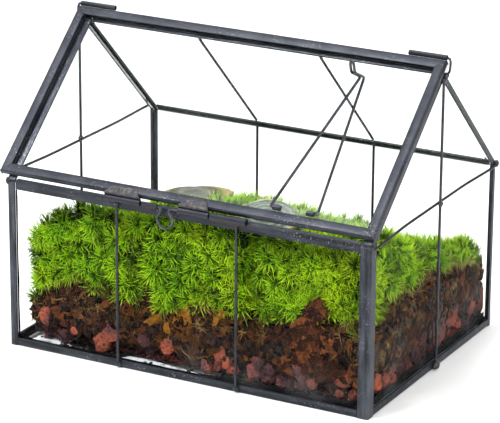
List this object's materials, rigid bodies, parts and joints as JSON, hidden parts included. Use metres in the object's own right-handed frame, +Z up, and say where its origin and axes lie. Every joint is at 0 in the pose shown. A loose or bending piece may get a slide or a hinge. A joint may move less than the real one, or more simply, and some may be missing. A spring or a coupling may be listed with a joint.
{
  "type": "glass plant terrarium",
  "caption": "Glasshouse-shaped glass terrarium in dark metal strip, with a hinged front roof on a latch and a prop, planted with moss over peat and lava stones.",
  "frame": {"origin": "centre of the bounding box, at the underside of the base rails", "axes": "+X to the right along the case's length, -Y towards the front with the latch, +Z up"},
  "size_m": [0.272, 0.1932, 0.2081],
  "materials": {
    "came": "satin",
    "steel_wire": "satin",
    "pane": "gloss",
    "lava": "matte",
    "peat_soil": "matte",
    "bark": "matte",
    "moss": "matte",
    "fungus": "matte"
  },
  "bodies": {
    "case": {"post_front_left": "came", "post_front_right": "came", "post_back_left": "came", "post_back_right": "came", "base_rail_front": "came", "base_rail_back": "came", "base_rail_left": "came", "base_rail_right": "came", "rafter_front_left": "came", "rafter_front_right": "came", "rafter_back_left": "came", "rafter_back_right": "came", "eave_rail_front": "came", "eave_rail_back": "came", "ridge_rail": "came", "pane_base": "pane", "pane_front": "pane", "pane_back": "pane", "pane_roof_back": "pane", "pane_gable_left": "pane", "pane_gable_right": "pane", "front_bar_left": "came", "front_bar_right": "came", "back_bar_left": "came", "back_bar_right": "came", "roof_bar_left": "came", "roof_bar_right": "came", "gable_upright_left": "came", "gable_upright_right": "came", "gable_cross_left": "came", "gable_cross_right": "came", "hinge_wire_left": "steel_wire", "hinge_wire_right": "steel_wire", "case_latch_tube_small": "came", "case_latch_tube_large": "came", "lava_stones": "lava", "peat": "peat_soil", "bark_chip_standing": "bark", "bark_chip_lying": "bark", "moss_front_left": "moss", "moss_front_middle": "moss", "moss_front_right": "moss", "moss_back_left": "moss", "moss_back_right": "moss", "bracket_fungus_flat": "fungus", "bracket_fungus_ringed": "fungus", "bracket_fungus_small": "fungus"},
    "lid": {"lid_rail_bottom": "came", "lid_rail_top": "came", "lid_stile_left": "came", "lid_stile_right": "came", "lid_pane": "pane", "hinge_tube_left": "came", "hinge_tube_right": "came", "lid_latch_tube_left": "came", "lid_latch_tube_right": "came", "prop_sleeve_left": "came", "prop_sleeve_right": "came"},
    "lid_prop": {"lid_prop": "steel_wire"},
    "latch_pin": {"latch_pin": "steel_wire"}
  },
  "joints": [
    {"name": "lid_hinge", "type": "hinge", "parent": "case", "child": "lid", "pos_m": [0, 0.00901, 0.20644], "axis": [-1, 0, 0], "range_deg": [0, 110]},
    {"name": "prop_hinge", "type": "hinge", "parent": "lid", "child": "lid_prop", "pos_m": [0.0755, -0.08696, 0.12555], "axis": [1, 0, 0], "range_deg": [0, 160]},
    {"name": "latch_slide", "type": "slide", "parent": "case", "child": "latch_pin", "axis": [1, 0, 0], "range_m": [0, 0.003]}
  ]
}
